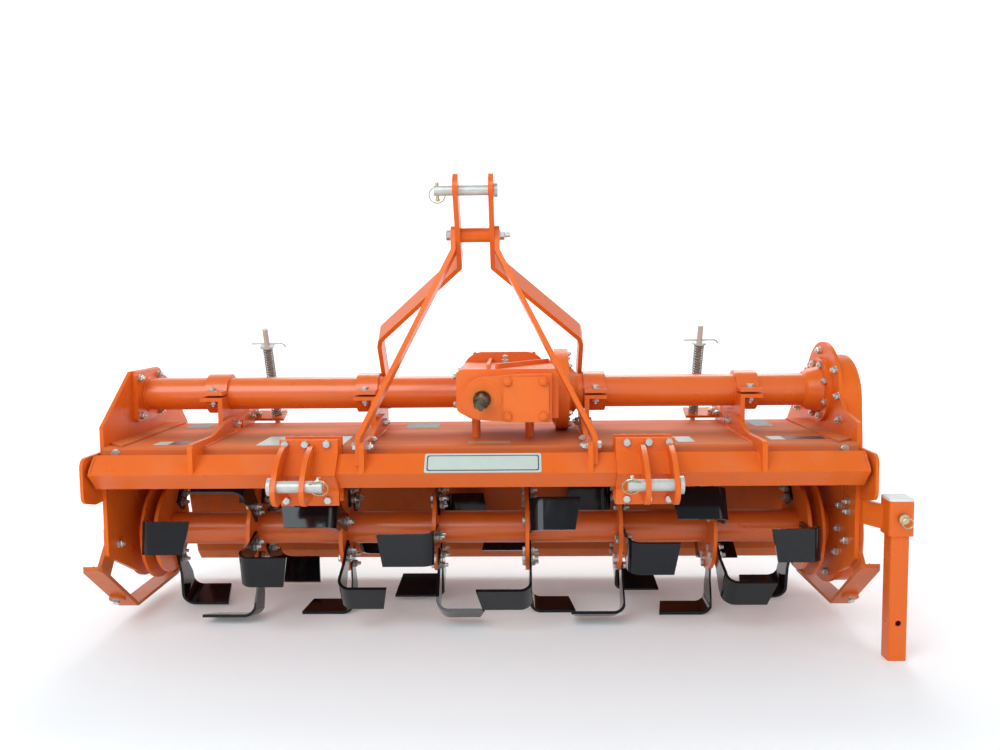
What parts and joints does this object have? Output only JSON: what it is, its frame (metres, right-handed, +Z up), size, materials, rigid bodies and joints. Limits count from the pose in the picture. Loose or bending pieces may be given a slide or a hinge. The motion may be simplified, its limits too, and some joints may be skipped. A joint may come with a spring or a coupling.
{
  "type": "tractor rotavator",
  "caption": "Three-point rotary tiller: side gear drive, L-blade rotor, hood, mast with top and lower link pins, skids, parking stand and sprung levelling board.",
  "frame": {"origin": "bottom centre of the bounding box, on the ground", "axes": "+X along the rotor, towards the gear case; +Y backwards, away from the tractor; +Z up"},
  "size_m": [2.038, 0.7879, 1.1774],
  "materials": {
    "orange_paint": "semi-gloss",
    "blade_paint": "gloss",
    "zinc": "zinc plated",
    "spring_zinc": "zinc plated",
    "oiled_steel": "machined and oiled"
  },
  "bodies": {
    "frame": {"bearing_housings": "orange_paint", "cheek_plates": "orange_paint", "clamp_saddles": "orange_paint", "clamp_straps": "orange_paint", "deck": "orange_paint", "front_beam": "orange_paint", "gear_case": "orange_paint", "gearbox_front_cover": "orange_paint", "gearbox_housing": "orange_paint", "gearbox_rear_cover": "orange_paint", "gusset_plates": "orange_paint", "hinge_rod": "zinc", "hitch_back_plates": "orange_paint", "hitch_bracket_left": "orange_paint", "hitch_bracket_right": "orange_paint", "hitch_pins": "zinc", "main_tube_left": "orange_paint", "main_tube_right": "orange_paint", "mast_bars": "orange_paint", "mast_braces": "orange_paint", "mast_spacer": "orange_paint", "rear_skirt": "orange_paint", "side_plate_left": "orange_paint", "side_plate_right": "orange_paint", "skids": "orange_paint", "spring_brackets": "orange_paint", "stand_arm": "orange_paint", "stand_pin": "zinc", "stand_socket": "orange_paint", "top_link_pin": "zinc", "tube_adapter": "orange_paint", "tube_flanges": "orange_paint"},
    "rotor": {"rotor_tube": "orange_paint", "rotor_station_1": "blade_paint", "rotor_station_2": "blade_paint", "rotor_station_3": "blade_paint", "rotor_station_4": "blade_paint", "rotor_station_5": "blade_paint", "rotor_station_6": "blade_paint", "rotor_station_7": "blade_paint", "rotor_station_8": "blade_paint"},
    "pto": {"pto_shaft": "oiled_steel"},
    "tailboard": {"tailboard": "orange_paint"},
    "rod_left": {"spring_rod_left": "zinc", "spring_left": "spring_zinc"},
    "rod_right": {"spring_rod_right": "zinc", "spring_right": "spring_zinc"},
    "stand_leg": {"stand_leg": "orange_paint"}
  },
  "joints": [
    {"name": "rotor_turn", "type": "hinge", "parent": "frame", "child": "rotor", "pos_m": [-0.023, 0.038, 0.246], "axis": [1, 0, 0], "continuous": true},
    {"name": "pto_turn", "type": "hinge", "parent": "frame", "child": "pto", "pos_m": [-0.01, -0.307, 0.631], "axis": [0, 1, 0], "continuous": true},
    {"name": "tailboard_lift", "type": "hinge", "parent": "frame", "child": "tailboard", "pos_m": [-0.023, 0.276, 0.402], "axis": [1, 0, 0], "range_deg": [0, 30]},
    {"name": "rod_tilt_left", "type": "hinge", "parent": "tailboard", "child": "rod_left", "pos_m": [-0.653, 0.374, 0.25], "axis": [1, 0, 0], "range_deg": [-15, 0]},
    {"name": "rod_tilt_right", "type": "hinge", "parent": "tailboard", "child": "rod_right", "pos_m": [0.607, 0.374, 0.25], "axis": [1, 0, 0], "range_deg": [-15, 0]},
    {"name": "stand_slide", "type": "slide", "parent": "frame", "child": "stand_leg", "axis": [0, 0, 1], "range_m": [0, 0.25]}
  ],
  "couplings": [
    {"joint": "pto_turn", "follows": "rotor_turn", "ratio": -2.57},
    {"joint": "rod_tilt_left", "follows": "tailboard_lift", "ratio": -0.4108},
    {"joint": "rod_tilt_right", "follows": "tailboard_lift", "ratio": -0.4108}
  ]
}
